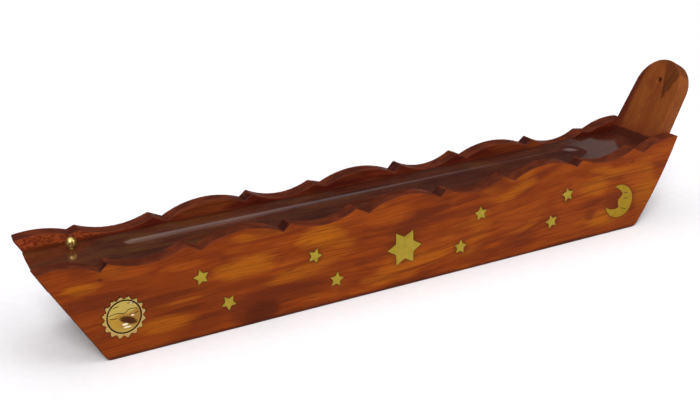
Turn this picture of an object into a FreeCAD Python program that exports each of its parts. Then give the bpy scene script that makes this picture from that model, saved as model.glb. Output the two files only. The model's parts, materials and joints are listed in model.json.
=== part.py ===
import FreeCAD, Part
import math
import os

# Boat-shaped incense-stick burner in oiled hardwood with brass inlay, millimetres.
# Frame: +X along the boat towards the stick-holding tongue, the inlaid side panel at -Y,
# +Z up, origin in the middle of the flat underside.

V = FreeCAD.Vector

# ---- driving dimensions -------------------------------------------------------------
BOTTOM_LENGTH = 260.0       # length of the flat underside
WIDTH = 45.2                # over the outer faces of the two side panels
PANEL_THICKNESS = 7.2
END_FLARE_DEG = 29.8        # both ends lean outwards by this angle from upright
LEFT_END_SKEW = 2.1         # the left end is sawn this much shorter at the rear panel
LEFT_END_BOW = 1.0          # and sanded convex: its middle stands this far out of its corners
RIGHT_END_BULGE = 1.7       # the panels' right ends are sanded convex between underside and top
CORNER_RADIUS_LEFT = 3.0    # rounding where the underside meets each end
CORNER_RADIUS_RIGHT = 4.5

# Scalloped top edge: ogee units between a wide notch and the narrow notch that follows it.
WIDE_NOTCHES_X = (-129.5, -54.5, 19.3, 93.0)
NARROW_NOTCHES_X = (-89.5, -15.5, 58.5, 132.5)
NOTCH_Z = 36.9
HUMP_Z = 41.4               # crest of each convex hump
DIP_Z = 36.1                # lowest point of each hollow curve
CUSP_AFTER_WIDE = (3.2, 39.5)      # cusp beyond a wide notch: distance, height
CUSP_BEFORE_NARROW = (6.0, 39.8)   # cusp ahead of a narrow notch: distance, height
END_HUMP_HALF_SPAN = 17.0   # half the span of the humps that the two ends cut through

# The front panel keeps to these heights. The rear one strays from them in each ogee unit: wide
# notch, cusp after it, hollow, cusp ahead of the narrow notch, narrow notch, next hump.
FRONT_STRAY = ((0, 0, 0, 0, 0, 0),) * 4
REAR_STRAY = (
    (1.9, 0.6, 0.3, -0.6, -0.6, -0.4),
    (0.9, 0.8, 0, -0.7, 0.3, -0.5),
    (0, 0.5, -0.4, 0, 0, -0.9),
    (0, 0, -1.5, -1.7, 0.2, -0.5),
)

# Sliding lid: a flat board with rebated edges that run in grooves in the side panels.
LID_TOP_Z = 35.4
LID_THICKNESS = 4.9
LID_SIDE_GAP = 0.2          # between the lid's upper part and each panel
LID_EDGE_Z = (31.3, 33.6)   # lower and upper faces of the edge tongues
LID_EDGE_REACH = 2.4        # edge tongue beyond the panel's inner face
GROOVE_CLEARANCE = 0.1      # above and below the edge tongue
GROOVE_DEPTH = 2.6
LID_END_GAP = 0.25          # between the lid's right end and the tongue board
LID_LEFT_PROUD = 0.2        # the lid's left end stands this far out of the panels' ends

# Ash trough: a shallow cove along the lid, rounded off at both ends.
COVE_HALF_WIDTH = 8.3
COVE_DEPTH = 1.8
COVE_ENDS_X = (-108.5, 107.0)      # centres of the rounded ends

# Brass ball knob near the left end of the lid.
KNOB_X = -131.3
KNOB_Y = 9.5
KNOB_RADIUS = 2.25
KNOB_NECK_RADIUS = 1.0
KNOB_NECK_HEIGHT = 0.25     # the ball's underside stands this far above the lid
KNOB_PIN_RADIUS = 0.7
KNOB_PIN_LENGTH = 3.6

# Boards between the side panels.
BASE_THICKNESS = 5.0
LEFT_END_THICKNESS = 6.5
LEFT_END_TOP_GAP = 0.25     # under the lid

# Tongue: the right end board carried on upwards, with a round head and the stick hole.
TONGUE_THICKNESS = 7.2
TONGUE_PROUD = 2.2          # its outer face stands this far out of the panels' ends
TONGUE_HEAD_RADIUS = 14.4
TONGUE_HEAD_CENTRE = 65.8   # up the slope from the underside
TONGUE_SHOULDER = 46.0      # the sides taper from here to the head
STICK_HOLE_RADIUS = 1.1
STICK_HOLE_UP_SLOPE = 69.5

# Brass inlays, let into the front panel.
INLAY_THICKNESS = 1.3
INLAY_PROUD = 0.12          # above the panel's face
INLAY_GAP = 0.13            # filler line around each inlay
STAR_TIP_RADIUS = 3.4
STAR_ROOT_RADIUS = 1.75
SMALL_STARS = (             # x, z, direction of one tip in degrees
    (-90.5, 25.5, 29),
    (-79.8, 12.0, 51),
    (-41.2, 23.3, 67),
    (-31.6, 10.5, 7),
    (29.7, 11.5, 11),
    (40.3, 25.0, 23),
    (79.4, 13.0, 32),
    (88.2, 24.3, 25),
)
SIX_STAR = (1.3, 17.5)
SIX_STAR_TIP_RADIUS = 8.4
SIX_STAR_ROOT_RADIUS = 5.0
SUN = (-122.4, 16.6)
SUN_TEETH = 16
SUN_TIP_RADIUS = 8.9
SUN_ROOT_RADIUS = 7.4
SUN_RING_RADIUS = 6.8       # engraved ring line
SUN_RING_WIDTH = 0.3
SUN_RING_DEPTH = 0.2
SUN_DOME_RISE = 0.45        # the polished disc inside the ring is slightly domed
MOON = (119.0, 15.0)
MOON_RADIUS = 8.05

# ---- derived dimensions -------------------------------------------------------------
HALF_BOTTOM = BOTTOM_LENGTH / 2
HALF_WIDTH = WIDTH / 2
INNER_Y = HALF_WIDTH - PANEL_THICKNESS
FLARE = math.radians(END_FLARE_DEG)
SIN_F = math.sin(FLARE)
COS_F = math.cos(FLARE)
TAN_F = math.tan(FLARE)
TONGUE_INSET = TONGUE_THICKNESS - TONGUE_PROUD      # its part inside the panels' ends
LID_BOTTOM_Z = LID_TOP_Z - LID_THICKNESS
BLANK_TOP = 100.0           # height of the stock that the ends are cut from
REACH = 220.0               # half-length of the cutting tools, past both ends


def end_x(z):
    """Distance from the middle to the outer face of an end, at height z."""
    return HALF_BOTTOM + z * TAN_F


def slope_thickness(thickness):
    """Length along X of a board of this thickness that leans with the ends."""
    return thickness / COS_F


def box(x0, x1, y0, y1, z0, z1):
    """Box between two opposite corners."""
    return Part.makeBox(x1 - x0, y1 - y0, z1 - z0, V(x0, y0, z0))


def prism_y(points, y0, y1):
    """Prism along Y over a polygon of (x, z) points."""
    wire = Part.makePolygon([V(x, y0, z) for x, z in points + points[:1]])
    return Part.Face(wire).extrude(V(0, y1 - y0, 0))


def arc_edge(start, middle, end, y=0.0):
    """Circular edge through three (x, z) points."""
    ends = [V(x, y, z) for x, z in (start, middle, end)]
    return Part.Arc(*ends).toShape()


def line_edge(start, end, y=0.0):
    """Straight edge between two (x, z) points."""
    return Part.makeLine(V(start[0], y, start[1]), V(end[0], y, end[1]))


def left_end_x(y):
    """X of the left end at the underside, at this place across the boat."""
    skew = LEFT_END_SKEW * (y + HALF_WIDTH) / WIDTH
    bow = LEFT_END_BOW * (1 - (y / HALF_WIDTH) ** 2)
    return -HALF_BOTTOM + skew - bow


def left_end_saw(proud=0.0):
    """Tool that removes everything beyond the skewed, bowed left end or a parallel to it."""
    past = HALF_WIDTH + 2
    below = -10.0

    def at(x, y):
        return V(x - proud - below * TAN_F, y, below)

    front, rear = at(left_end_x(-past), -past), at(left_end_x(past), past)
    far_front, far_rear = at(-REACH, -past), at(-REACH, past)
    outline = [
        Part.Arc(front, at(left_end_x(0), 0), rear).toShape(),
        Part.makeLine(rear, far_rear),
        Part.makeLine(far_rear, far_front),
        Part.makeLine(far_front, front),
    ]
    height = BLANK_TOP + 20
    return Part.Face(Part.Wire(outline)).extrude(V(-height * TAN_F, 0, height))


def sawn_left(shape):
    """Shape with its left end sawn, and rounded where that end meets the underside."""
    shape = shape.cut(left_end_saw())
    corner = [
        edge for edge in shape.Edges
        if all(v.X < -HALF_BOTTOM + 10 and abs(v.Z) < 0.01 for v in edge.Vertexes)
        and abs(edge.Vertexes[0].Y - edge.Vertexes[-1].Y) > 1
    ]
    return shape.makeFillet(CORNER_RADIUS_LEFT, corner)


def rounded_right(blank, corner_x):
    """Blank with its bottom right corner, at this X, rounded."""
    corner = [
        edge for edge in blank.Edges
        if all(abs(v.X - corner_x) < 0.01 and abs(v.Z) < 0.01 for v in edge.Vertexes)
    ]
    return blank.makeFillet(CORNER_RADIUS_RIGHT, corner)


def panel_blank(y0, y1):
    """Side outline of a panel, past its left end and taller than the panel, between two faces."""
    foot = (HALF_BOTTOM, 0)
    belly = (end_x(HUMP_Z / 2) + RIGHT_END_BULGE, HUMP_Z / 2)
    shoulder = (end_x(HUMP_Z), HUMP_Z)
    top_right, top_left = (end_x(BLANK_TOP), BLANK_TOP), (-REACH, BLANK_TOP)
    outline = [
        line_edge((-REACH, 0), foot, y0),
        arc_edge(foot, belly, shoulder, y0),
        line_edge(shoulder, top_right, y0),
        line_edge(top_right, top_left, y0),
        line_edge(top_left, (-REACH, 0), y0),
    ]
    blank = Part.Face(Part.Wire(outline)).extrude(V(0, y1 - y0, 0))
    return rounded_right(blank, HALF_BOTTOM)


def scallop_edges(strays):
    """Top edge of a side panel from left to right, as arcs and short straight flanks."""
    first = (WIDE_NOTCHES_X[0], NOTCH_Z + strays[0][0])
    start = (first[0] - 2 * END_HUMP_HALF_SPAN, NOTCH_Z)
    edges = [arc_edge(start, (first[0] - END_HUMP_HALF_SPAN, HUMP_Z), first)]
    wide_heights = [NOTCH_Z + stray[0] for stray in strays] + [NOTCH_Z]
    last = NARROW_NOTCHES_X[-1] + 2 * END_HUMP_HALF_SPAN
    for number, (wide, narrow) in enumerate(zip(WIDE_NOTCHES_X, NARROW_NOTCHES_X)):
        stray = strays[number]
        cusp_a = (wide + CUSP_AFTER_WIDE[0], CUSP_AFTER_WIDE[1] + stray[1])
        cusp_b = (narrow - CUSP_BEFORE_NARROW[0], CUSP_BEFORE_NARROW[1] + stray[3])
        dip = ((cusp_a[0] + cusp_b[0]) / 2, DIP_Z + stray[2])
        notch = (narrow, NOTCH_Z + stray[4])
        after = ((WIDE_NOTCHES_X + (last,))[number + 1], wide_heights[number + 1])
        hump = ((notch[0] + after[0]) / 2, HUMP_Z + stray[5])
        edges.append(line_edge((wide, wide_heights[number]), cusp_a))
        edges.append(arc_edge(cusp_a, dip, cusp_b))
        edges.append(line_edge(cusp_b, notch))
        edges.append(arc_edge(notch, hump, after))
    return edges


def scallop_saw(strays):
    """Tool that removes everything above a scalloped edge, over the whole width."""
    edges = scallop_edges(strays)
    left = edges[0].valueAt(edges[0].FirstParameter)
    right = edges[-1].valueAt(edges[-1].LastParameter)
    left_top = (-REACH, BLANK_TOP + 10)
    right_top = (REACH, BLANK_TOP + 10)
    edges.append(line_edge((right.x, right.z), (REACH, right.z)))
    edges.append(line_edge((REACH, right.z), right_top))
    edges.append(line_edge(right_top, left_top))
    edges.append(line_edge(left_top, (-REACH, left.z)))
    edges.append(line_edge((-REACH, left.z), (left.x, left.z)))
    wire = Part.Wire(Part.__sortEdges__(edges))
    face = Part.Face(wire)
    face.translate(V(0, -HALF_WIDTH - 5, 0))
    return face.extrude(V(0, WIDTH + 10, 0))


def lid_groove(side):
    """Groove for the lid's edge tongue in the panel on this side (-1 front, +1 rear)."""
    inner = side * (INNER_Y - 1)
    outer = side * (INNER_Y + GROOVE_DEPTH)
    stop = end_x(LID_EDGE_Z[1]) - slope_thickness(TONGUE_INSET) + 1
    return box(
        -REACH, stop, min(inner, outer), max(inner, outer),
        LID_EDGE_Z[0] - GROOVE_CLEARANCE, LID_EDGE_Z[1] + GROOVE_CLEARANCE,
    )


def side_panel(side, strays):
    """Plain side panel, grooved inside for the lid."""
    y0, y1 = sorted((side * INNER_Y, side * HALF_WIDTH))
    return sawn_left(panel_blank(y0, y1)).cut(scallop_saw(strays)).cut(lid_groove(side))


def base_board():
    """Bottom board between the side panels, bevelled to meet the leaning end boards."""
    left = -HALF_BOTTOM + slope_thickness(LEFT_END_THICKNESS)
    right = HALF_BOTTOM - slope_thickness(TONGUE_INSET)
    rise = BASE_THICKNESS * TAN_F
    outline = [(left, 0), (right, 0), (right + rise, BASE_THICKNESS), (left - rise, BASE_THICKNESS)]
    return prism_y(outline, -INNER_Y, INNER_Y)


def left_end_board():
    """Board that closes the left end of the storage space, under the lid."""
    top = LID_BOTTOM_Z - LEFT_END_TOP_GAP
    thick = slope_thickness(LEFT_END_THICKNESS)
    outline = [(-REACH, 0), (-HALF_BOTTOM + thick, 0), (-end_x(top) + thick, top), (-REACH, top)]
    stock = sawn_left(box(-REACH, 0, -INNER_Y, INNER_Y, 0, BLANK_TOP))
    return stock.common(prism_y(outline, -INNER_Y, INNER_Y))


def tongue_board():
    """Right end board, standing up past the panels to a round head with the stick hole."""
    proud_x = TONGUE_PROUD * COS_F
    proud_z = TONGUE_PROUD * SIN_F

    def on_face(up_slope, y):
        return V(HALF_BOTTOM + up_slope * SIN_F + proud_x, y, up_slope * COS_F - proud_z)

    radius = TONGUE_HEAD_RADIUS
    foot = -5.0
    outline = [
        Part.makeLine(on_face(foot, INNER_Y), on_face(foot, -INNER_Y)),
        Part.makeLine(on_face(foot, -INNER_Y), on_face(TONGUE_SHOULDER, -INNER_Y)),
        Part.makeLine(on_face(TONGUE_SHOULDER, -INNER_Y), on_face(TONGUE_HEAD_CENTRE, -radius)),
        Part.Arc(
            on_face(TONGUE_HEAD_CENTRE, -radius),
            on_face(TONGUE_HEAD_CENTRE + radius, 0),
            on_face(TONGUE_HEAD_CENTRE, radius),
        ).toShape(),
        Part.makeLine(on_face(TONGUE_HEAD_CENTRE, radius), on_face(TONGUE_SHOULDER, INNER_Y)),
        Part.makeLine(on_face(TONGUE_SHOULDER, INNER_Y), on_face(foot, INNER_Y)),
    ]
    inward = V(-COS_F, 0, SIN_F)
    board = Part.Face(Part.Wire(outline)).extrude(inward * TONGUE_THICKNESS)
    hole_start = on_face(STICK_HOLE_UP_SLOPE, 0) - inward * 5
    hole = Part.makeCylinder(STICK_HOLE_RADIUS, TONGUE_THICKNESS + 10, hole_start, inward)
    foot_x = HALF_BOTTOM + slope_thickness(TONGUE_PROUD)
    outline = [(0, 0), (foot_x, 0), (foot_x + BLANK_TOP * TAN_F, BLANK_TOP), (0, BLANK_TOP)]
    stock = rounded_right(prism_y(outline, -INNER_Y, INNER_Y), foot_x)
    return board.common(stock).cut(hole)


def sliding_lid():
    """Flat board with rebated edges, an ash cove along its top and the knob's pin hole."""
    half = INNER_Y - LID_SIDE_GAP
    edge = INNER_Y + LID_EDGE_REACH
    board = box(-REACH, REACH, -half, half, LID_BOTTOM_Z, LID_TOP_Z)
    edges = box(-REACH, REACH, -edge, edge, *LID_EDGE_Z)
    right = -slope_thickness(TONGUE_INSET) - LID_END_GAP
    trim = [
        (-REACH, 0),
        (HALF_BOTTOM + right, 0),
        (end_x(BLANK_TOP) + right, BLANK_TOP),
        (-REACH, BLANK_TOP),
    ]
    lid = board.fuse(edges).removeSplitter().common(prism_y(trim, -HALF_WIDTH, HALF_WIDTH))
    lid = lid.cut(left_end_saw(LID_LEFT_PROUD))
    cove_radius = (COVE_HALF_WIDTH ** 2 + COVE_DEPTH ** 2) / (2 * COVE_DEPTH)
    axis_z = LID_TOP_Z - COVE_DEPTH + cove_radius
    start, end = [V(x, 0, axis_z) for x in COVE_ENDS_X]
    lid = lid.cut(Part.makeCylinder(cove_radius, end.x - start.x, start, V(1, 0, 0)))
    for centre in (start, end):
        lid = lid.cut(Part.makeSphere(cove_radius, centre))
    pin_foot = V(KNOB_X, KNOB_Y, LID_TOP_Z - KNOB_PIN_LENGTH)
    return lid.cut(Part.makeCylinder(KNOB_PIN_RADIUS, KNOB_PIN_LENGTH + 1, pin_foot))


def lid_knob():
    """Brass ball on a short neck, with a pin that is driven into the lid."""
    ball_z = LID_TOP_Z + KNOB_NECK_HEIGHT + KNOB_RADIUS
    ball = Part.makeSphere(KNOB_RADIUS, V(KNOB_X, KNOB_Y, ball_z))
    neck = Part.makeCylinder(KNOB_NECK_RADIUS, ball_z - LID_TOP_Z, V(KNOB_X, KNOB_Y, LID_TOP_Z))
    pin_foot = V(KNOB_X, KNOB_Y, LID_TOP_Z - KNOB_PIN_LENGTH)
    pin = Part.makeCylinder(KNOB_PIN_RADIUS, KNOB_PIN_LENGTH + KNOB_RADIUS, pin_foot)
    return ball.fuse(neck).fuse(pin).removeSplitter()


def polar(centre, radius, degrees):
    """(x, z) point at a radius and direction from a centre."""
    angle = math.radians(degrees)
    return (centre[0] + radius * math.cos(angle), centre[1] + radius * math.sin(angle))


def star_wire(centre, tips, tip_radius, root_radius, turn):
    """Closed star outline in the XZ plane."""
    half_step = 180.0 / tips
    points = []
    for tip in range(tips):
        points.append(polar(centre, tip_radius, turn + 2 * half_step * tip))
        points.append(polar(centre, root_radius, turn + 2 * half_step * tip + half_step))
    return Part.makePolygon([V(x, 0, z) for x, z in points + points[:1]])


def moon_wire():
    """Crescent whose hollow side is a simple profile with a brow, a nose and a chin."""
    upper_horn = (-2.9, 7.1)
    brow = (1.9, 3.4)
    nose_tip = (-0.5, 0.6)
    lip = (-0.1, -2.9)
    lower_horn = (-7.7, -1.2)

    def at(point):
        return (MOON[0] + point[0], MOON[1] + point[1])

    horn_fit = [math.hypot(*p) for p in (upper_horn, lower_horn)]
    upper = at([c * MOON_RADIUS / horn_fit[0] for c in upper_horn])
    lower = at([c * MOON_RADIUS / horn_fit[1] for c in lower_horn])
    edges = [
        arc_edge(lower, polar(MOON, MOON_RADIUS, -30), upper),
        arc_edge(upper, at((0.3, 5.5)), at(brow)),
        arc_edge(at(brow), at((0.9, 1.8)), at(nose_tip)),
        arc_edge(at(nose_tip), at((-0.6, -0.8)), at(lip)),
        arc_edge(at(lip), at((-4.3, -3.3)), lower),
    ]
    return Part.Wire(edges)


def inlay_plate(wire):
    """Brass plate over an outline, from just proud of the panel's face down to its pocket."""
    face = Part.Face(wire)
    face.translate(V(0, -HALF_WIDTH - INLAY_PROUD, 0))
    return face.extrude(V(0, INLAY_THICKNESS, 0))


def inlay_pocket(wire):
    """Cutter for the pocket of an inlay, a filler line wider all round."""
    face = Part.Face(wire.makeOffset2D(INLAY_GAP))
    face.translate(V(0, -HALF_WIDTH - 2, 0))
    return face.extrude(V(0, 2 + INLAY_THICKNESS - INLAY_PROUD, 0))


def sun_plate(wire):
    """Toothed sun with an engraved ring line around a slightly domed disc."""
    face_y = -HALF_WIDTH - INLAY_PROUD
    start = V(SUN[0], face_y - 1, SUN[1])
    depth = 1 + SUN_RING_DEPTH
    disc_radius = SUN_RING_RADIUS - SUN_RING_WIDTH / 2
    outer = Part.makeCylinder(SUN_RING_RADIUS + SUN_RING_WIDTH / 2, depth, start, V(0, 1, 0))
    inner = Part.makeCylinder(disc_radius, depth, start, V(0, 1, 0))
    dome_radius = (disc_radius ** 2 + SUN_DOME_RISE ** 2) / (2 * SUN_DOME_RISE)
    dome = Part.makeSphere(dome_radius, V(SUN[0], face_y - SUN_DOME_RISE + dome_radius, SUN[1]))
    return inlay_plate(wire).cut(outer.cut(inner)).fuse(dome.common(inner)).removeSplitter()


inlay_wires = {
    "sun_inlay": star_wire(SUN, SUN_TEETH, SUN_TIP_RADIUS, SUN_ROOT_RADIUS, 6.0),
    "moon_inlay": moon_wire(),
    "six_point_star_inlay": star_wire(SIX_STAR, 6, SIX_STAR_TIP_RADIUS, SIX_STAR_ROOT_RADIUS, 0),
}
for number, (x, z, turn) in enumerate(SMALL_STARS, start=1):
    wire = star_wire((x, z), 5, STAR_TIP_RADIUS, STAR_ROOT_RADIUS, turn)
    inlay_wires["small_star_inlay_%d" % number] = wire

front_panel = side_panel(-1, FRONT_STRAY)
for wire in inlay_wires.values():
    front_panel = front_panel.cut(inlay_pocket(wire))

parts = {
    "front_side_panel": front_panel,
    "rear_side_panel": side_panel(1, REAR_STRAY),
    "base_board": base_board(),
    "left_end_board": left_end_board(),
    "tongue_board": tongue_board(),
    "sliding_lid": sliding_lid(),
    "lid_knob": lid_knob(),
}
for name, wire in inlay_wires.items():
    parts[name] = sun_plate(wire) if name == "sun_inlay" else inlay_plate(wire)

os.makedirs("parts", exist_ok=True)
for name, shape in parts.items():
    solid = shape.Solids[0]
    print("%-24s solids %d valid %s volume %.1f" % (name, len(shape.Solids), shape.isValid(), shape.Volume))
    solid.exportStep("parts/%s.step" % name)
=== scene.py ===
import json
import math

import bmesh
import bpy
from mathutils import Matrix, Vector


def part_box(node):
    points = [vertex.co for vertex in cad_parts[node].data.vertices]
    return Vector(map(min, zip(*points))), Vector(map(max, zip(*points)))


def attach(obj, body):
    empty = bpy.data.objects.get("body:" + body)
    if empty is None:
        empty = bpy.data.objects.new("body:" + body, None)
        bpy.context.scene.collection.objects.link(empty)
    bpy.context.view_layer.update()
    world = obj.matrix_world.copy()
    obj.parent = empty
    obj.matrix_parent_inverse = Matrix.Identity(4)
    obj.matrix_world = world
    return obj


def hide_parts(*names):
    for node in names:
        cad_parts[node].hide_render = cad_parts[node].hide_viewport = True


# Looks of a boat-shaped incense burner, in metres in the CAD frame: each CAD node gets one finished piece
# in its place, then come the floor, the camera and the lights.
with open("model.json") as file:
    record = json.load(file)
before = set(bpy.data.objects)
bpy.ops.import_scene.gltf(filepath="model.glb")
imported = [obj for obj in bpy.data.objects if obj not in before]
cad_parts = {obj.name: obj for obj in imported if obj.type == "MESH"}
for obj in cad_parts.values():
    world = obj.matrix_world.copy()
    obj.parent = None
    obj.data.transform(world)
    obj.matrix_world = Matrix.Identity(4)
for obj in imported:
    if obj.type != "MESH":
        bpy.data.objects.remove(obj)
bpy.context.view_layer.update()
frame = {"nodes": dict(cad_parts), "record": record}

MM = 0.001
SMALL_STARS = sorted(n for n in frame["nodes"] if n.startswith("small_star_inlay"))
INLAYS = ["sun_inlay", "moon_inlay", "six_point_star_inlay"] + SMALL_STARS
STICK_HOLE = next(m for m in frame["record"]["mounts"] if m["name"] == "stick_hole")
HOLE_AXIS = Vector(STICK_HOLE["axis"])
LEAN = math.asin(HOLE_AXIS.z)           # both ends lean out from upright by this angle
FRONT_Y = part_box("front_side_panel")[0].y
INLAY_BOXES = [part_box(node) for node in INLAYS]
PLATE_Y = FRONT_Y / MM - 0.12           # face of the flat brass plates, which stand 0.12 mm proud

MOON_LOW, MOON_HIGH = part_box("moon_inlay")
MOON_X, MOON_Z = [(MOON_LOW[i] + MOON_HIGH[i]) / 2 / MM for i in (0, 2)]

SUN_LOW, SUN_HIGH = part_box("sun_inlay")
SUN_CENTRE = (SUN_LOW + SUN_HIGH) / 2
SUN_X, SUN_Z = SUN_CENTRE.x / MM, SUN_CENTRE.z / MM
SUN_TEETH = 16
SUN_TURN_DEG = 6.0                      # direction of the first tip
SUN_TIP = (SUN_HIGH.z - SUN_LOW.z) / 2 / MM / math.cos(math.radians(SUN_TURN_DEG))
SUN_ROOT = 7.4
SUN_DISC = 6.35                         # radius of the polished disc
SUN_GROOVE = 0.65                       # width of the engraved ring around it
SUN_GROOVE_DEPTH = 0.2
SUN_DISC_SHIFT = (0.1, 0.3)             # the disc was struck a little off the teeth's centre

SHARP_ANGLE = math.radians(38)          # arrises sharper than this are not shaded smooth
ARRIS_ANGLE = math.radians(32)          # edges sharper than this are rounded over
WELD_DISTANCE = 0.002 * MM
FLAT_ANGLE = math.radians(0.4)          # neighbouring triangles closer than this are one face
RIM_WIDTH = 0.32                        # dark filler around an inlay's pocket
MOON_STROKE_WIDTH = 0.32
SUN_STROKE_WIDTH = 0.3


# ---- node graphs ---------------------------------------------------------------------
class Graph:
    """Node graph of one material. Each method adds a node and returns its output socket."""

    def __init__(self, name):
        self.material = bpy.data.materials.new(name)
        self.material.use_nodes = True
        self.tree = self.material.node_tree
        self.tree.nodes.clear()

    def node(self, kind, inputs, output=0, **settings):
        node = self.tree.nodes.new(kind)
        for key, value in settings.items():
            setattr(node, key, value)
        for key, value in inputs.items():
            self.feed(node.inputs[key], value)
        return node.outputs[output]

    def feed(self, socket, value):
        if isinstance(value, bpy.types.NodeSocket):
            self.tree.links.new(value, socket)
        elif socket.type == "RGBA":
            socket.default_value = (*value, 1.0)
        else:
            socket.default_value = value

    def math(self, operation, a, b=0.0):
        return self.node("ShaderNodeMath", {0: a, 1: b}, operation=operation)

    def add(self, a, b):
        return self.math("ADD", a, b)

    def mul(self, a, b):
        return self.math("MULTIPLY", a, b)

    def total(self, *terms):
        """Sum of weight * (value - 0.5) over (weight, value) pairs."""
        result = 0.0
        for weight, value in terms:
            result = self.add(result, self.mul(self.add(value, -0.5), weight))
        return result

    def step(self, value, low, high, out_low=0.0, out_high=1.0):
        """Smooth change from out_low to out_high while value goes from low to high."""
        inputs = {"Value": value, "From Min": low, "From Max": high, "To Min": out_low, "To Max": out_high}
        return self.node("ShaderNodeMapRange", inputs, interpolation_type="SMOOTHSTEP")

    def band(self, value, low, high, soft):
        """1 between low and high, falling to 0 over a soft distance outside."""
        rise = self.step(value, low - soft, low)
        fall = self.step(value, high, high + soft, 1.0, 0.0)
        return self.mul(rise, fall)

    def position_mm(self):
        """Place in millimetres, in the object's own frame, as x, y and z sockets."""
        place = self.node("ShaderNodeTexCoord", {}, output="Object")
        node = self.tree.nodes.new("ShaderNodeSeparateXYZ")
        self.feed(node.inputs[0], place)
        return [self.mul(axis, 1 / MM) for axis in node.outputs]

    def noise(self, axes, lengths, detail=2.0, roughness=0.5, distortion=0.0):
        """Noise with its own feature length in mm along each of three axes."""
        scaled = [self.mul(axis, 1.0 / length) for axis, length in zip(axes, lengths)]
        vector = self.node("ShaderNodeCombineXYZ", dict(zip((0, 1, 2), scaled)))
        inputs = {"Vector": vector, "Scale": 1.0, "Detail": detail, "Roughness": roughness,
                  "Distortion": distortion}
        return self.node("ShaderNodeTexNoise", inputs)

    def ramp(self, value, stops):
        """Colour ramp from (position, colour) stops."""
        node = self.tree.nodes.new("ShaderNodeValToRGB")
        elements = node.color_ramp.elements
        elements.remove(elements[-1])
        elements[0].position = stops[0][0]
        elements[0].color = (*stops[0][1], 1.0)
        for position, colour in stops[1:]:
            elements.new(position).color = (*colour, 1.0)
        self.feed(node.inputs[0], value)
        return node.outputs["Color"]

    def mix(self, fac, a, b):
        """Colour between a (at 0) and b (at 1)."""
        node = self.tree.nodes.new("ShaderNodeMix")
        node.data_type = "RGBA"
        self.feed(node.inputs[0], fac)
        self.feed(node.inputs[6], a)
        self.feed(node.inputs[7], b)
        return node.outputs[2]

    def bump(self, height, distance_mm, below=None):
        inputs = {"Height": height, "Distance": distance_mm * MM, "Strength": 1.0}
        if below is not None:
            inputs["Normal"] = below
        return self.node("ShaderNodeBump", inputs)

    def finish(self, **inputs):
        """Principled surface: constant values go straight on the shader's own sockets."""
        sockets = {key.replace("_", " "): value for key, value in inputs.items()}
        shader = self.node("ShaderNodeBsdfPrincipled", sockets)
        output = self.tree.nodes.new("ShaderNodeOutputMaterial")
        self.feed(output.inputs["Surface"], shader)
        return self.material


def srgb(red, green, blue):
    """Linear colour from 0-255 display values."""
    def linear(value):
        value /= 255.0
        return value / 12.92 if value <= 0.04045 else ((value + 0.055) / 1.055) ** 2.4
    return tuple(linear(v) for v in (red, green, blue))


def darker(colour, share):
    """The colour with this share of its light left."""
    return tuple(c * share for c in colour)


# ---- wood ----------------------------------------------------------------------------
DARK, MID, LIGHT, GOLD, SHADE = range(5)       # places in a set of tones; SHADE is darker than dark
PANEL_TONES = (srgb(98, 38, 12), srgb(130, 55, 11), srgb(151, 70, 13), srgb(168, 92, 12))
REAR_TONES = (srgb(64, 18, 12), srgb(92, 30, 16), srgb(122, 50, 24), srgb(130, 62, 26))
LID_TONES = (srgb(48, 16, 10), srgb(70, 29, 16), srgb(88, 44, 24), srgb(92, 54, 22))
TONGUE_TONES = (srgb(104, 50, 22), srgb(132, 70, 30), srgb(146, 82, 36), srgb(154, 92, 40))
INNER_TONES = (srgb(66, 28, 16), srgb(96, 44, 22), srgb(120, 62, 34), srgb(128, 70, 36))
SAWN = srgb(98, 44, 24)
# sooty brown of the sawn tops and the filled pin holes, also used for the painted shade along the front
# panel's lower arris
SOOT_AND_SHADE = srgb(60, 25, 17)
END_GRAIN = srgb(44, 17, 15)


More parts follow.
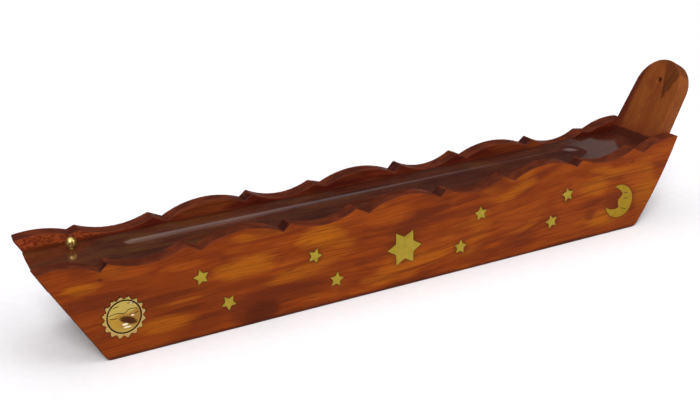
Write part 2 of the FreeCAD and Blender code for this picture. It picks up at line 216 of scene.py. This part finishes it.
def wood(name, tones, along_lean=False, rise=None, figure=1.0, coat=0.03, coat_rough=0.12, coat_ior=1.5,
         specular=0.04, shift=0.0, patches=(), edit=None):
    """Oiled rosewood-like timber. tones: dark, mid, light and gold colours. rise: (x0, x1, mm) by which
    the grain lines climb between two places. patches: (x, z, half length, half height, tone, strength)
    of the figure's light and dark places, tone being one of the four or SHADE, darker than dark. edit:
    extra colour work, called with the graph, the axes in mm and the colour."""
    g = Graph(name)
    x, y, z = g.position_mm()
    wander = g.noise((x, y, z), (70, 60, 40), detail=1.0)
    if along_lean:
        along = g.add(g.mul(x, math.sin(LEAN)), g.mul(z, math.cos(LEAN)))
        through = g.add(g.mul(x, -math.cos(LEAN)), g.mul(z, math.sin(LEAN)))
        grain = [g.add(along, shift), g.add(y, g.mul(g.add(wander, -0.5), 6.0)), through]
    else:
        across = z
        if rise:
            across = g.add(z, g.mul(g.step(x, rise[0], rise[1]), -rise[2]))
        grain = [g.add(x, shift), g.add(across, g.mul(g.add(wander, -0.5), 9.0)), y]
    broad = g.noise(grain, (80, 7.5, 9), detail=2.0, distortion=0.5)
    veins = g.noise(grain, (38, 1.7, 2.4), detail=3.0, roughness=0.6)
    fibres = g.noise(grain, (11, 0.42, 0.7), detail=2.0, roughness=0.6)
    blotch = g.noise(grain, (24, 6.5, 9), detail=2.0, distortion=0.6)
    tone = g.total((0.85 * figure, broad), (0.62 * figure, veins), (0.34, fibres), (0.9 * figure, blotch))
    dark, mid, light, gold = tones
    colour = g.ramp(g.add(tone, 0.5), [(0.2, dark), (0.48, mid), (0.8, light)])
    glow = g.noise(grain, (30, 8, 9), detail=1.0)
    colour = g.mix(g.step(glow, 0.52, 0.72, 0.0, 0.55 * figure), colour, gold)
    edge = g.noise(grain, (9, 3.0, 5), detail=2.0)
    shaded = darker(dark, 0.62)
    for spot_x, spot_z, half_x, half_z, spot_tone, strength in patches:
        away_x = g.math("POWER", g.mul(g.add(x, -spot_x), 1.0 / half_x), 2.0)
        away_z = g.math("POWER", g.mul(g.add(z, -spot_z), 1.0 / half_z), 2.0)
        away = g.add(g.add(away_x, away_z), g.mul(g.add(edge, -0.5), 1.6))
        spot = tones[spot_tone] if spot_tone < SHADE else shaded
        colour = g.mix(g.step(away, 0.1, 1.5, strength, 0.0), colour, spot)
    lines = g.noise(grain, (110, 3.4, 4.0), detail=2.0, distortion=0.8)
    thin = g.band(lines, 0.478, 0.494, 0.02)
    colour = g.mix(g.mul(thin, 0.42 * figure), colour, darker(dark, 0.8))
    streak = g.step(g.noise(grain, (26, 0.9, 1.4), detail=2.0), 0.4, 0.66, 0.0, 0.3)
    colour = g.mix(streak, colour, dark)
    pores = g.step(g.noise(grain, (4.5, 0.24, 0.3), detail=1.0), 0.6, 0.74)
    colour = g.mix(g.mul(pores, 0.4), colour, darker(dark, 0.5))
    if edit:
        colour = edit(g, (x, y, z), colour)
    fine = g.bump(g.add(g.mul(pores, -0.6), g.mul(fibres, 0.5)), 0.03)
    waves = g.noise((x, y, z), (20, 20, 9), detail=1.0)
    under = g.bump(waves, 0.12, fine)
    gloss = g.bump(waves, 0.12)
    return g.finish(
        Base_Color=colour, Roughness=g.step(veins, 0.3, 0.7, 0.4, 0.58), Normal=under,
        Specular_IOR_Level=specular, Coat_Weight=coat, Coat_Roughness=coat_rough, Coat_IOR=coat_ior,
        Coat_Normal=gloss,
    )


def facing(g):
    """The surface normal's x, y and z as sockets."""
    split = g.tree.nodes.new("ShaderNodeSeparateXYZ")
    g.feed(split.inputs[0], g.node("ShaderNodeNewGeometry", {}, output="True Normal"))
    return split.outputs


def sawn_top(g, axes, colour):
    """The sawn top edges have drunk more oil than the faces, and look darker and redder. Steep flanks
    cut across the grain are darker still."""
    normal = facing(g)
    cloud = g.noise(axes, (7, 5, 5), detail=3.0)
    sawn = g.mix(g.step(cloud, 0.35, 0.65, 0.1, 0.85), SAWN, SOOT_AND_SHADE)
    colour = g.mix(g.mul(g.step(normal[2], 0.25, 0.8), 0.92), colour, sawn)
    flank = g.step(g.math("ABSOLUTE", normal[0]), 0.42, 0.62, 0.0, g.step(cloud, 0.3, 0.7, 0.5, 0.9))
    return g.mix(flank, colour, END_GRAIN)


def front_edit(g, axes, colour):
    """Front panel: two filled pin holes, and painted shade along the lower arris."""
    x, _, z = axes
    for hole_x, hole_z in ((-129.9, 33.7), (125.9, 33.4)):
        away_x = g.math("POWER", g.mul(g.add(x, -hole_x), 0.75), 2.0)
        away_z = g.math("POWER", g.mul(g.add(z, -hole_z), 1.3), 2.0)
        ragged = g.mul(g.noise(axes, (0.9, 0.9, 0.9)), 1.2)
        colour = g.mix(g.step(g.add(g.add(away_x, away_z), ragged), 0.5, 2.0, 0.6, 0.0), colour, SOOT_AND_SHADE)
    # painted shade: the front face darkens towards its bottom edge, where the rounded lower arris turns
    # away from the light
    painted_lower_shade = g.step(g.add(z, g.mul(g.noise(axes, (12, 12, 30)), 2.0)), 1.2, 3.2, 0.85, 0.0)
    return sawn_top(g, axes, g.mix(painted_lower_shade, colour, SOOT_AND_SHADE))


def rear_edit(g, axes, colour):
    """Rear panel: rough reddish rasp marks on its inner face near the left end."""
    x, y, z = axes
    inside = g.mul(g.step(y, 15.9, 16.6, 1.0, 0.0), g.step(x, -112, -96, 1.0, 0.0))
    torn = g.noise(axes, (1.5, 2.0, 0.7), detail=3.0, roughness=0.7)
    rasped = g.mix(g.step(torn, 0.36, 0.64), srgb(104, 38, 18), srgb(164, 76, 38))
    ragged = g.add(z, g.mul(g.noise(axes, (3.0, 3.0, 3.0), detail=2.0), 2.6))
    colour = g.mix(g.mul(g.mul(inside, g.step(ragged, 37.4, 38.4)), 0.85), colour, rasped)
    return sawn_top(g, axes, colour)


def tongue_edit(g, axes, colour):
    """Tongue: reddish clouds, a dark wedge of heartwood beside the hole, a darker head and foot, painted
    shade along the rear edge, and a painted shadow line where it meets the lid."""
    x, y, z = axes
    up = g.add(g.mul(x, math.sin(LEAN)), g.mul(z, math.cos(LEAN)))
    hole_up = math.sin(LEAN) * STICK_HOLE["pos_m"][0] / MM + math.cos(LEAN) * STICK_HOLE["pos_m"][2] / MM
    cloud = g.noise(axes, (9, 5, 9), detail=3.0, distortion=0.5)
    colour = g.mix(g.step(cloud, 0.42, 0.7, 0.0, 0.35), colour, srgb(104, 44, 26))
    middle = g.mul(g.math("ABSOLUTE", g.add(y, 6.6)), -1.0)
    reach = g.mul(g.add(up, -(hole_up - 9.0)), 0.36)
    streak = g.noise(axes, (2.2, 1.0, 7), detail=2.0)
    wedge = g.step(g.add(g.add(reach, middle), g.mul(streak, 1.8)), 0.3, 1.7)
    faded = g.step(up, hole_up - 8.0, hole_up + 8.0, 1.0, 0.65)
    wedge = g.mul(wedge, g.mul(faded, g.step(streak, 0.3, 0.62, 0.65, 0.95)))
    colour = g.mix(wedge, colour, srgb(74, 36, 20))
    drift = g.mul(g.noise(axes, (20, 3, 20)), 5.0)
    head = g.step(g.add(up, g.mul(cloud, 6.0)), hole_up + 9.0, hole_up + 15.0, 0.0, 0.5)
    colour = g.mix(head, colour, srgb(96, 44, 24))
    # painted shade: the strip along the rear edge is darkened as if its rounded edge were in shadow
    rear = g.step(g.add(y, drift), 11.0, 15.5, 0.0, 0.9)
    colour = g.mix(rear, colour, srgb(80, 28, 20))
    foot = g.step(g.add(up, drift), hole_up - 28.0, hole_up - 16.0, 0.6, 0.0)
    colour = g.mix(foot, colour, srgb(108, 46, 26))
    # painted shadow: a dark line where the tongue meets the lid
    painted_gap_shadow = g.step(g.add(up, g.mul(drift, 0.3)), hole_up - 27.6, hole_up - 26.2, 0.8, 0.0)
    return g.mix(painted_gap_shadow, colour, srgb(56, 22, 18))


# ---- brass ---------------------------------------------------------------------------
def brass(name, colour, rough, scratch, tarnish, edit=None):
    """Filed or polished brass with scratches, rubbed patches and darker tarnish."""
    g = Graph(name)
    axes = g.position_mm()
    patch = g.noise(axes, (2.6, 2.6, 2.6), detail=3.0)
    speck = g.noise(axes, (0.6, 0.6, 0.6), detail=2.0)
    scratches = g.noise(axes, (5.0, 2.0, 0.16), detail=2.0, roughness=0.7)
    dull = g.mul(g.step(patch, 0.42, 0.68), tarnish)
    shade = g.mix(dull, colour, darker(colour, 0.66))
    shade = g.mix(g.mul(g.step(speck, 0.6, 0.75), tarnish), shade, darker(colour, 0.5))
    if edit:
        shade = edit(g, axes, shade)
    normal = g.bump(g.add(g.mul(scratches, 0.6), g.mul(patch, 0.8)), scratch)
    roughness = g.step(g.add(g.mul(patch, 0.6), g.mul(scratches, 0.4)), 0.3, 0.7, rough * 0.8, rough * 1.25)
    return g.finish(Base_Color=shade, Metallic=1.0, Roughness=roughness, Normal=normal)


def sun_edit(g, axes, colour):
    """Polished disc: pale above the wavy line and browner below it, which is a painted reflection, with one
    dark painted reflection and a few painted highlights on the raised features."""
    dx, dz = g.add(axes[0], -SUN_X), g.add(axes[2], -SUN_Z)
    cloud = g.noise(axes, (1.3, 1.3, 0.9), detail=2.0)

    def spot(spot_x, spot_z, half_x, half_z, lean, soft, strength):
        """Soft-edged leaning oval: 1 inside, 0 outside."""
        from_x, from_z = g.add(dx, -spot_x), g.add(dz, -spot_z)
        long_way = g.add(g.mul(from_x, math.cos(lean)), g.mul(from_z, math.sin(lean)))
        short_way = g.add(g.mul(from_z, math.cos(lean)), g.mul(from_x, -math.sin(lean)))
        away = g.add(
            g.math("POWER", g.mul(long_way, 1 / half_x), 2.0),
            g.math("POWER", g.mul(short_way, 1 / half_z), 2.0),
        )
        away = g.add(away, g.mul(g.add(cloud, -0.5), 1.1))
        return g.step(away, 1.0 - soft, 1.0 + soft, strength, 0.0)

    # painted reflection: the disc below the wavy line is painted ochre, in place of the brown floor it
    # would mirror
    wave = g.mul(g.math("SINE", g.mul(dx, 0.8)), 0.45)
    lower = g.step(g.add(g.add(dz, wave), g.mul(dx, -0.12)), 1.2, 2.6, 1.0, 0.0)
    inside = g.add(g.math("POWER", dx, 2.0), g.math("POWER", g.add(dz, -0.3), 2.0))
    in_disc = g.step(inside, 41.0, 45.0, 1.0, 0.0)
    ochre = g.mix(g.step(dx, -5.0, 3.0), (0.44, 0.25, 0.035), (0.33, 0.16, 0.03))
    ochre = g.mix(g.step(dz, -6.0, -3.0, 1.0, 0.0), ochre, (0.46, 0.33, 0.07))
    colour = g.mix(g.mul(g.mul(lower, in_disc), 0.9), colour, ochre)
    # painted reflection: a dark leaning oval below the middle
    colour = g.mix(spot(1.4, -1.2, 3.6, 1.5, -0.42, 0.5, 0.95), colour, (0.055, 0.016, 0.008))
    # painted highlights: small bright spots on the raised features
    for place in ((0.1, -2.8, 1.1, 0.5, 0.0), (1.0, -4.1, 1.5, 0.4, 0.0), (3.3, 0.5, 0.6, 0.45, 0.0),
                  (3.3, 5.4, 0.6, 0.4, 0.0)):
        colour = g.mix(spot(*place, 0.6, 0.9), colour, (0.95, 0.85, 0.6))
    return g.mix(g.step(inside, 47.0, 52.0, 0.0, 0.5), colour, (0.5, 0.3, 0.12))


def lid_edit(g, axes, colour):
    """Lid: painted shade darkens the strips along both side panels, in place of the gaps' shadow and the
    panels' dark reflection; resin has left browner clouds in the left half, and the left end is browner all
    over."""
    x, y, _ = axes
    across = g.math("ABSOLUTE", g.add(y, g.mul(g.noise(axes, (18, 3, 5), detail=2.0), 2.0)))
    # painted shade and painted reflection: the lid darkens towards both side panels
    colour = g.mix(g.step(across, 11.5, 15.5, 0.0, 0.45), colour, srgb(40, 14, 9))
    resin = g.step(g.noise(axes, (16, 7, 9), detail=2.0), 0.45, 0.62)
    left_half = g.step(x, -110.0, -40.0, 0.36, 0.0)
    colour = g.mix(g.mul(resin, left_half), colour, srgb(92, 58, 20))
    return g.mix(g.step(x, -134.0, -118.0, 0.35, 0.0), colour, srgb(100, 50, 24))


FRONT_PATCHES = (
    (-112, 14, 40, 22, MID, 0.5), (-112, 16, 42, 26, DARK, 0.3),
    (-104, 21, 17, 1.5, SHADE, 0.6), (-99, 14, 12, 1.3, SHADE, 0.55), (-92, 8.5, 9, 1.2, SHADE, 0.5),
    (-134, 27, 12, 1.3, SHADE, 0.5), (-141, 13, 8, 1.2, DARK, 0.5), (-101, 17.5, 11, 1.1, GOLD, 0.5),
    (-66, 4.5, 5, 3.0, SHADE, 0.8), (-20, 17, 17, 1.1, DARK, 0.5), (58, 10, 14, 1.2, DARK, 0.5),
    (-72, 25, 15, 4.2, GOLD, 0.8), (-38, 31, 11, 5.0, GOLD, 0.85), (-106, 9.5, 12, 3.4, GOLD, 0.6),
    (-137, 31.5, 8, 2.2, GOLD, 0.7), (-98, 32, 9, 1.8, LIGHT, 0.8), (-118, 33.5, 10, 1.6, LIGHT, 0.7),
    (104, 25, 9, 4.5, GOLD, 0.75), (134, 20, 7, 14, GOLD, 0.5), (112, 8, 12, 4.5, GOLD, 0.65),
    (-6, 33, 12, 4.0, LIGHT, 0.8), (-12, 6, 9, 3.0, GOLD, 0.5), (62, 21, 18, 3.5, LIGHT, 0.7),
    (128, 26, 8, 6.0, LIGHT, 0.7),
    (-68, 5.5, 12, 6.0, DARK, 1.0), (-66, 5.0, 8, 4.4, SHADE, 1.0), (-131, 24.5, 19, 2.6, DARK, 0.75),
    (-112, 19, 14, 2.4, DARK, 0.6), (-74, 18.2, 16, 1.8, DARK, 0.55), (-40, 14, 16, 2.6, DARK, 0.5),
    (-90, 5, 8, 2.4, DARK, 0.4), (32, 27.5, 22, 2.0, DARK, 0.55), (102, 12, 3.4, 3.0, DARK, 0.55),
    (-136, 38, 6, 3.0, DARK, 0.4), (66, 6, 5, 2.0, DARK, 0.35), (20, 20, 10, 2.0, DARK, 0.35),
    # dark halos round the moon and the stars: darkened wood, and painted shade for the shadow at the
    # inlays' edges
    (118, 15, 8.6, 8.6, DARK, 0.7), (79.4, 13, 4.2, 4.2, DARK, 0.7), (88.2, 24.3, 4.2, 4.2, DARK, 0.6),
    (1.3, 17.5, 8.2, 8.2, DARK, 0.6), (29.7, 11.5, 4.0, 4.0, DARK, 0.5), (-41.2, 23.3, 4.0, 4.0, DARK, 0.5),
)
REAR_PATCHES = ((-74, 39.5, 15, 4.5, GOLD, 0.85), (-30, 37, 9, 3, LIGHT, 0.5), (98, 36, 5, 2, GOLD, 0.9),
                (30, 40, 14, 3, DARK, 0.5))
WOODS = {
    "front": wood("wood_front_panel", PANEL_TONES, rise=(-15, 115, 11), patches=FRONT_PATCHES,
                  edit=front_edit),
    "rear": wood("wood_rear_panel", REAR_TONES, shift=340.0, rise=(-80, 90, -7), patches=REAR_PATCHES,
                 edit=rear_edit),
    "lid": wood("wood_lid", LID_TONES, shift=-150.0, figure=0.8, coat=1.0, coat_rough=0.11, coat_ior=1.7,
                edit=lid_edit),
    "tongue": wood("wood_tongue", TONGUE_TONES, along_lean=True, figure=0.35, edit=tongue_edit),
    "end": wood("wood_left_end", INNER_TONES, shift=77.0),
    "base": wood("wood_base", INNER_TONES, shift=-61.0, coat=0.0),
}
STAR_BRASS = brass("brass_stars", (0.40, 0.295, 0.036), 0.36, 0.012, 0.35)
MOON_BRASS = brass("brass_moon", (0.36, 0.225, 0.018), 0.36, 0.014, 0.35)
SUN_BRASS = brass("brass_sun", (0.50, 0.37, 0.085), 0.2, 0.006, 0.15, edit=sun_edit)
KNOB_BRASS = brass("brass_knob", (0.66, 0.47, 0.14), 0.36, 0.0008, 0.12)


def filler():
    """Dark lac that fills the line between brass and wood, and the engraved strokes."""
    g = Graph("dark_lac_filler")
    grit = g.noise(g.position_mm(), (0.5, 0.5, 0.5), detail=2.0)
    colour = g.ramp(grit, [(0.35, (0.012, 0.006, 0.004)), (0.7, (0.04, 0.016, 0.01))])
    return g.finish(Base_Color=colour, Roughness=0.6, Specular_IOR_Level=0.2, Normal=g.bump(grit, 0.02))


FILLER = filler()


# ---- shapes --------------------------------------------------------------------------
def add_object(name, mesh):
    obj = bpy.data.objects.new(name, mesh)
    bpy.context.scene.collection.objects.link(obj)
    return obj


def smooth(mesh):
    """Smooth shading that keeps sharp arrises."""
    mesh.polygons.foreach_set("use_smooth", [True] * len(mesh.polygons))
    mesh.set_sharp_from_angle(angle=SHARP_ANGLE)


def shade(obj):
    """Smooth shading that keeps sharp arrises, and keeps flat faces flat beside rounded ones."""
    smooth(obj.data)
    weighted = obj.modifiers.new("weighted_normals", "WEIGHTED_NORMAL")
    weighted.keep_sharp = True


def near_inlay(point):
    """True at the pocket of any brass inlay, where the front panel's arrises stay crisp."""
    for low, high in INLAY_BOXES:
        if low.x - MM < point.x < high.x + MM and low.z - MM < point.z < high.z + MM:
            return True
    return False


def dome(radius):
    """Y of the sun's domed disc at a distance from its middle, in mm."""
    crown = SUN_LOW.y / MM
    return crown + (PLATE_Y - crown) * (radius / SUN_DISC) ** 2


def welded(node):
    """bmesh of a CAD node with whole faces in place of triangles."""
    bm = bmesh.new()
    bm.from_mesh(frame["nodes"][node].data)
    bmesh.ops.remove_doubles(bm, verts=bm.verts, dist=WELD_DISTANCE)
    bmesh.ops.dissolve_limit(bm, angle_limit=FLAT_ANGLE, verts=bm.verts, edges=bm.edges)
    return bm


def round_over(bm, edges, width_mm, segments, material=-1):
    bmesh.ops.bevel(
        bm, geom=edges, offset=width_mm * MM, segments=segments, profile=0.5, material=material,
        affect="EDGES", clamp_overlap=True,
    )


def eased(node, width_mm, segments=3, pockets=False):
    """Mesh of a CAD node with its outer arrises rounded over, as sanding leaves them. Around the
    inlays' pockets a narrow rim of the face is left for the dark filler line, as material 1."""
    bm = welded(node)
    arrises, rims = [], []
    for edge in bm.edges:
        if not edge.is_manifold or not edge.is_convex or edge.calc_face_angle() < ARRIS_ANGLE:
            continue
        middle = (edge.verts[0].co + edge.verts[1].co) / 2
        if not (pockets and near_inlay(middle)):
            arrises.append(edge)
        elif max(v.co.y for v in edge.verts) < FRONT_Y + 0.01 * MM:
            rims.append(edge)
    round_over(bm, arrises, width_mm, segments)
    if rims:
        round_over(bm, [e for e in rims if e.is_valid], RIM_WIDTH, 1, material=1)
    mesh = bpy.data.meshes.new(node + "_shape")
    bm.to_mesh(mesh)
    bm.free()
    return mesh


def fit_piece(node, name, mesh, slot, *materials):
    """Puts a finished piece in place of its CAD node, on the same body. The materials go on in the order
    of the mesh's own material numbers."""
    body = next(b for b, nodes in frame["record"]["behaviour"]["bodies"].items() if node in nodes)
    piece = add_object(name, mesh)
    for material in materials:
        piece.data.materials.append(material)
    shade(piece)
    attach(piece, body)
    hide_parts(node)
    return piece


def engrave(piece, strokes, width_mm):
    """Cuts round-bottomed strokes into a piece and leaves dark filler in them. strokes: lists of points."""
    curve = bpy.data.curves.new("strokes", "CURVE")
    curve.dimensions = "3D"
    curve.bevel_depth = width_mm / 2 * MM
    curve.bevel_resolution = 2
    curve.use_fill_caps = True
    for points in strokes:
        spline = curve.splines.new("NURBS")
        spline.points.add(len(points) - 1)
        for control, point in zip(spline.points, points):
            control.co = (*point, 1.0)
        spline.order_u = 3
        spline.use_endpoint_u = True
    tubes = add_object("strokes", curve)
    bpy.context.view_layer.update()
    cutter_mesh = bpy.data.meshes.new_from_object(tubes)
    cutter_mesh.materials.clear()
    cutter_mesh.materials.append(FILLER)
    cutter = add_object("stroke_cutter", cutter_mesh)
    plain = add_object("plain", piece.data)
    cut = plain.modifiers.new("engraving", "BOOLEAN")
    cut.operation = "DIFFERENCE"
    cut.object = cutter
    cut.solver = "EXACT"
    cut.material_mode = "TRANSFER"
    bpy.context.view_layer.update()
    result = bpy.data.meshes.new_from_object(plain.evaluated_get(bpy.context.evaluated_depsgraph_get()))
    piece.data = result
    for spare in (plain, cutter, tubes):
        bpy.data.objects.remove(spare)
    smooth(piece.data)


def sun_mesh():
    """Toothed sun: domed polished disc, ring groove and filed teeth, worked out in rings (mm). A ring is
    its radius, or None for the toothed outline, its y, an inset from the outline, and its material."""
    per_tooth = 12
    count = SUN_TEETH * per_tooth
    half = math.pi / SUN_TEETH

    def rim(index, inset):
        """Radius of the toothed outline, straight from tip to root, less an inset."""
        share = abs((index % per_tooth) / per_tooth * 2 - 1)       # 1 at a tip, 0 at a root
        along = (1 - share) * half
        whole = SUN_TIP * math.sin(along) + SUN_ROOT * math.sin(half - along)
        blunt = 0.25 * max(0.0, share - 0.8) / 0.2
        return SUN_TIP * SUN_ROOT * math.sin(half) / whole - blunt - inset

    steps = 14
    rings = [(SUN_DISC * k / steps, dome(SUN_DISC * k / steps), 1.0, 0) for k in range(1, steps + 1)]
    rings += [
        (SUN_DISC + 0.04, PLATE_Y + SUN_GROOVE_DEPTH, 1.0, 1),
        (SUN_DISC + SUN_GROOVE - 0.04, PLATE_Y + SUN_GROOVE_DEPTH, 1.0, 1),
        (SUN_DISC + SUN_GROOVE, PLATE_Y, 1.0, 1),
        (None, PLATE_Y, 0.16, 0),
        (None, PLATE_Y + 0.07, 0.03, 0),
        (None, PLATE_Y + 0.2, 0.0, 0),
        (None, SUN_HIGH.y / MM, 0.0, 0),
    ]
    bm = bmesh.new()
    shift_x, shift_z = SUN_DISC_SHIFT
    apex = bm.verts.new(Vector((SUN_X + shift_x, dome(0.0), SUN_Z + shift_z)) * MM)
    previous = None
    for radius, level, inset, material in rings:
        ring = []
        for index in range(count):
            angle = math.radians(SUN_TURN_DEG) + 2 * math.pi * index / count
            away = rim(index, inset) if radius is None else radius
            x = SUN_X + away * math.cos(angle) + (shift_x if radius is not None else 0.0)
            z = SUN_Z + away * math.sin(angle) + (shift_z if radius is not None else 0.0)
            ring.append(bm.verts.new(Vector((x, level, z)) * MM))
        for index in range(count):
            after = (index + 1) % count
            if previous is None:
                bm.faces.new((apex, ring[index], ring[after]))
            else:
                face = bm.faces.new((previous[index], ring[index], ring[after], previous[after]))
                face.material_index = material
        previous = ring
    bm.faces.new(previous)
    bmesh.ops.recalc_face_normals(bm, faces=bm.faces)
    mesh = bpy.data.meshes.new("sun_shape")
    bm.to_mesh(mesh)
    bm.free()
    return mesh


def knob_mesh():
    """Turned brass ball on a short neck, lathed in fine steps."""
    low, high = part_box("lid_knob")
    centre = Vector(((low.x + high.x) / 2, (low.y + high.y) / 2, 0))
    radius = (high.x - low.x) / 2
    ball_z = high.z - radius
    lid_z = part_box("sliding_lid")[1].z
    profile = [(0.0, ball_z + radius)]
    steps = 28
    for k in range(1, steps + 1):
        angle = math.radians(150) * k / steps
        profile.append((radius * math.sin(angle), ball_z + radius * math.cos(angle)))
    profile += [(0.46 * radius, lid_z + 0.12 * MM), (0.52 * radius, lid_z + 0.02 * MM)]
    profile += [(0.31 * radius, lid_z - 0.3 * MM), (0.31 * radius, low.z), (0.0, low.z)]
    bm = bmesh.new()
    verts = [bm.verts.new((centre.x + r, centre.y, z)) for r, z in profile]
    edges = [bm.edges.new(pair) for pair in zip(verts, verts[1:])]
    bmesh.ops.spin(
        bm, geom=verts + edges, cent=centre, axis=(0, 0, 1), angle=2 * math.pi, steps=56,
        use_merge=True, use_duplicate=False,
    )
    bmesh.ops.remove_doubles(bm, verts=bm.verts, dist=0.001 * MM)
    bmesh.ops.recalc_face_normals(bm, faces=bm.faces)
    mesh = bpy.data.meshes.new("knob_shape")
    bm.to_mesh(mesh)
    bm.free()
    return mesh


# ---- pieces --------------------------------------------------------------------------
BOARDS = (                  # node, timber, material slot, width of the worn arrises in mm
    ("rear_side_panel", "rear", "panel_wood", 0.55),
    ("base_board", "base", "base_wood", 0.3),
    ("left_end_board", "end", "end_wood", 0.4),
    ("tongue_board", "tongue", "tongue_wood", 0.9),
    ("sliding_lid", "lid", "lid_wood", 0.35),
)
fit_piece("front_side_panel", "front_side_panel_eased", eased("front_side_panel", 0.55, pockets=True),
          "panel_wood", WOODS["front"], FILLER)
for node, timber, slot, width in BOARDS:
    fit_piece(node, node + "_eased", eased(node, width), slot, WOODS[timber])

for node in ["six_point_star_inlay"] + SMALL_STARS:
    fit_piece(node, node + "_filed", eased(node, 0.12, segments=2), "inlay_brass", STAR_BRASS)

moon = fit_piece("moon_inlay", "moon_inlay_engraved", eased("moon_inlay", 0.14, segments=2),
                 "inlay_brass", MOON_BRASS, FILLER)
MOON_STROKES = (            # mouth, eye and brow: x and z in mm from the middle of its box
    ((0.9, -3.6), (2.0, -3.8), (3.2, -4.3), (4.2, -4.7)),
    ((3.0, 1.1), (3.9, 0.6), (4.9, 0.9)),
    ((2.4, 3.3), (3.6, 3.9), (5.0, 3.3)),
)
engrave(moon, [[Vector((MOON_X + dx, PLATE_Y, MOON_Z + dz)) * MM for dx, dz in stroke]
               for stroke in MOON_STROKES], MOON_STROKE_WIDTH)

sun = fit_piece("sun_inlay", "sun_inlay_polished", sun_mesh(), "inlay_brass", SUN_BRASS, FILLER)
SUN_STROKES = (             # brows, the wavy line and a cheek on each side, from the sun's middle
    ((-3.9, 4.5), (-2.8, 5.1), (-1.6, 4.9)),
    ((1.7, 5.5), (2.8, 5.6), (4.0, 5.0)),
    ((-5.8, 1.7), (-4.2, 2.3), (-1.9, 2.4), (0.3, 1.6), (1.8, 3.1), (3.5, 3.2), (5.4, 2.7)),
    ((-5.6, 0.6), (-4.3, 0.1), (-2.6, 0.5)),
    ((2.2, 0.9), (4.0, 0.6), (5.8, 1.3)),
)


def on_dome(dx, dz):
    """Point on the sun's polished face, from its middle in mm."""
    away = math.hypot(dx - SUN_DISC_SHIFT[0], dz - SUN_DISC_SHIFT[1])
    return Vector((SUN_X + dx, dome(away), SUN_Z + dz)) * MM


engrave(sun, [[on_dome(*point) for point in stroke] for stroke in SUN_STROKES], SUN_STROKE_WIDTH)
fit_piece("lid_knob", "lid_knob_turned", knob_mesh(), "polished_brass", KNOB_BRASS)


# ---- stage ---------------------------------------------------------------------------
def pale_floor():
    mesh = bpy.data.meshes.new("floor")
    half = 7.0
    corners = [(-half, -half, 0), (half, -half, 0), (half, half, 0), (-half, half, 0)]
    mesh.from_pydata(corners, [], [(0, 1, 2, 3)])
    floor = add_object("floor", mesh)
    g = Graph("floor_paper")
    fibre = g.noise(g.position_mm(), (4.0, 4.0, 4.0), detail=3.0)
    paper = g.ramp(fibre, [(0.3, (0.86, 0.86, 0.87)), (0.7, (0.89, 0.89, 0.90))])
    mesh.materials.append(g.finish(Base_Color=paper, Roughness=0.85, Specular_IOR_Level=0.1))


# name, direction it comes from, spread in degrees, strength
SOFT_LIGHTS = (
    ("key", (-0.45, -0.75, 0.9), 26, 2.15),
    ("fill", (0.8, -0.6, 0.5), 34, 0.7),
)
CARD_PLACE = (0.715, 0.637, 0.303)
CARD_SIZE = 0.13
CARD_WATTS = 0.007
WALLS = (0.68, (0.03, 0.022, 0.02, 1.0))       # sine of the height up to which the walls reach, colour
CEILING = (0.84, (0.95, 0.92, 0.95, 1.0))      # and from which the ceiling is at its full colour
SKY_STRENGTH = 1.5


def aimed(name, data, place):
    """Light at a place, aimed at the middle of the boat."""
    light = add_object(name, data)
    light.location = place
    light.rotation_euler = Vector(place).to_track_quat("Z", "Y").to_euler()


def far_softbox(name, place, spread_degrees, strength):
    data = bpy.data.lights.new(name, "SUN")
    data.angle = math.radians(spread_degrees)
    data.energy = strength
    aimed(name, data, place)


def near_softbox(name, place, size, watts):
    data = bpy.data.lights.new(name, "AREA")
    data.shape = "DISK"
    data.size = size
    data.energy = watts
    aimed(name, data, place)


def camera():
    """Camera at the photograph's viewing angle: the pose was fitted to the boat's own corners."""
    place = Vector((-0.2305, -0.4074, 0.2067))
    yaw, pitch, roll = math.radians(28.155), math.radians(20.915), math.radians(-1.487)
    forward = Vector((math.sin(yaw) * math.cos(pitch), math.cos(yaw) * math.cos(pitch), -math.sin(pitch)))
    level = Vector((math.cos(yaw), -math.sin(yaw), 0.0))
    upright = level.cross(forward)
    right = level * math.cos(roll) + upright * math.sin(roll)
    up = upright * math.cos(roll) - level * math.sin(roll)
    data = bpy.data.cameras.new("camera")
    data.sensor_width = 36.0
    data.lens = 58.965
    data.clip_start = 0.01
    data.clip_end = 50.0
    view = add_object("camera", data)
    columns = Matrix((right, up, -forward)).transposed()
    view.matrix_world = Matrix.Translation(place) @ columns.to_4x4()
    bpy.context.scene.camera = view


def studio():
    """Dim walls, a pale ceiling, two large soft lights in front, and a small dim card at the far right,
    for its reflection on the lid."""
    world = bpy.data.worlds.new("studio")
    world.use_nodes = True
    tree = world.node_tree
    background = tree.nodes["Background"]
    direction = tree.nodes.new("ShaderNodeTexCoord")
    split = tree.nodes.new("ShaderNodeSeparateXYZ")
    ramp = tree.nodes.new("ShaderNodeValToRGB")
    tree.links.new(direction.outputs["Generated"], split.inputs[0])
    tree.links.new(split.outputs[2], ramp.inputs[0])
    tree.links.new(ramp.outputs[0], background.inputs["Color"])
    for element, (height, colour) in zip(ramp.color_ramp.elements, (WALLS, CEILING)):
        element.position = height
        element.color = colour
    background.inputs["Strength"].default_value = SKY_STRENGTH
    bpy.context.scene.world = world
    bpy.context.scene.view_settings.view_transform = "Standard"
    for light in SOFT_LIGHTS:
        far_softbox(*light)
    near_softbox("card", CARD_PLACE, CARD_SIZE, CARD_WATTS)


pale_floor()
camera()
studio()
